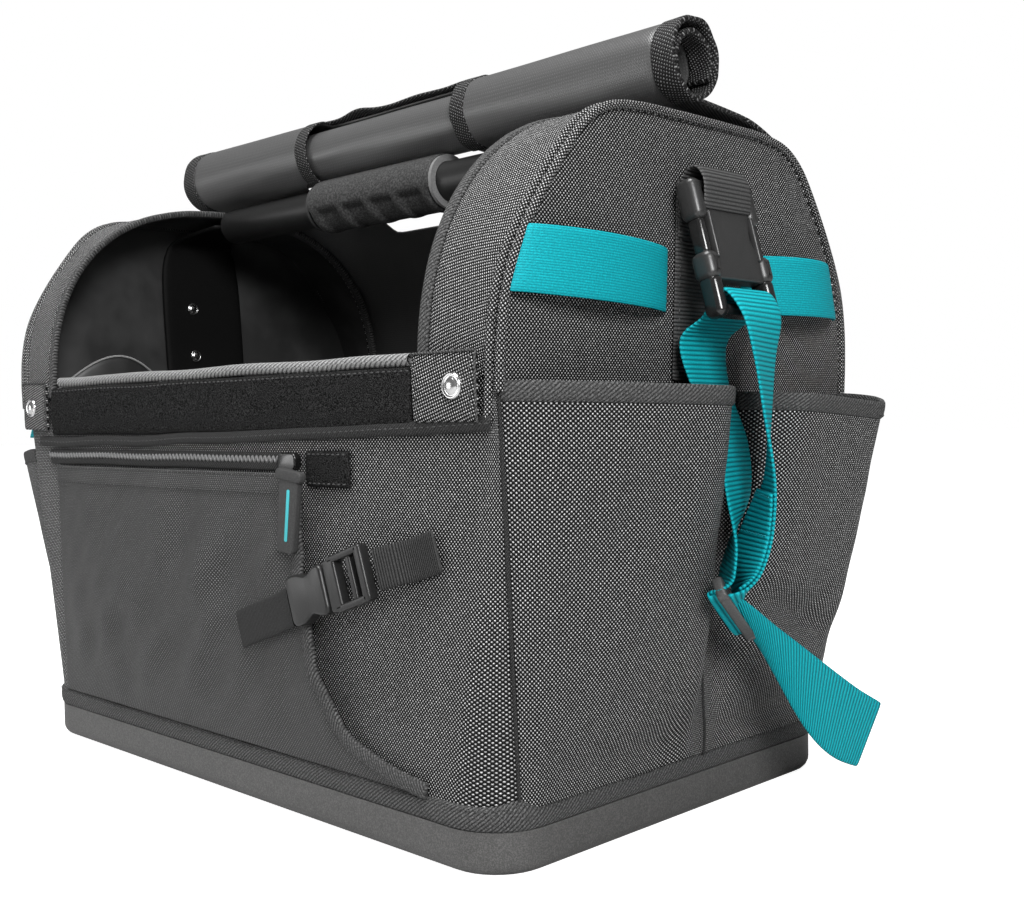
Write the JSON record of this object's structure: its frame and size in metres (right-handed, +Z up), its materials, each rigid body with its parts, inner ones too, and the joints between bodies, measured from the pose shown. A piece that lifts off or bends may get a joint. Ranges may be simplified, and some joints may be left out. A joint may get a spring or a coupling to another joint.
{
  "type": "tool bag",
  "caption": "Open-top cloth tool tote with a moulded base tray, domed ends, bellows end pockets, tube handle with foam grip, and a coated cover rolled up on top.",
  "frame": {"origin": "middle of the underside of the base tray, on the surface that the bag stands on", "axes": "+X along the bag to the right as its front is faced, -Y out of the front with the zipped pocket, +Z up"},
  "size_m": [0.5537, 0.2963, 0.402],
  "materials": {
    "cloth": "black basket-weave polyester, padded",
    "coated": "dark grey coated cloth with a faint weave",
    "tape": "black twill binding tape",
    "loop": "fuzzy black loop tape",
    "rim": "light grey and black woven binding",
    "webbing": "black ribbed webbing",
    "teal": "teal elastic and ribbed teal webbing",
    "tray": "matte dark grey moulded rubbery plastic, fine speckle",
    "plastic": "black moulded plastic, satin",
    "rubber": "mid grey soft plastic",
    "foam": "black foam, fine grain",
    "steel": "bright nickel-plated rivet caps"
  },
  "bodies": {
    "root": {"base_tray": "tray", "base_binding": "tape", "front_wall": "cloth", "back_wall": "cloth", "end_panel_right": "cloth", "end_panel_left": "cloth", "arch_band_right": "cloth", "arch_band_left": "cloth", "arch_binding_right": "tape", "arch_binding_left": "tape", "end_pockets_right": "cloth", "end_pockets_left": "cloth", "pocket_binding_right": "tape", "pocket_binding_left": "tape", "elastic_front_right": "teal", "elastic_rear_right": "teal", "elastic_front_left": "teal", "elastic_rear_left": "teal", "centre_strap_right": "webbing", "centre_strap_left": "webbing", "handle_bracket_right": "plastic", "handle_bracket_left": "plastic", "bracket_rivet_right_1": "steel", "bracket_rivet_right_2": "steel", "bracket_rivet_left_1": "steel", "bracket_rivet_left_2": "steel", "front_rim": "rim", "loop_band": "loop", "band_tape": "tape", "zip": "tape", "rivet_tab_right": "cloth", "rivet_tab_left": "cloth", "tab_rivet_right": "steel", "tab_rivet_left": "steel", "front_pocket": "cloth", "pocket_edge": "tape", "zip_slider": "plastic", "zip_puller": "rubber", "zip_end_tab": "loop", "pocket_strap_low": "webbing", "pocket_strap_high": "webbing", "pocket_buckle_receiver": "plastic", "pocket_buckle_plug": "plastic", "handle_tube": "plastic", "foam_grip": "foam", "grip_ring_left": "rubber", "grip_ring_right": "rubber", "cover": "coated", "cover_edge_right": "tape", "cover_edge_left": "tape", "release_buckle_receiver": "plastic", "release_buckle_plug": "plastic", "buckle_hanger": "webbing", "strap_loop": "teal", "strap_slide": "rubber", "strap_tail": "teal", "inner_pocket": "cloth"}
  },
  "joints": []
}
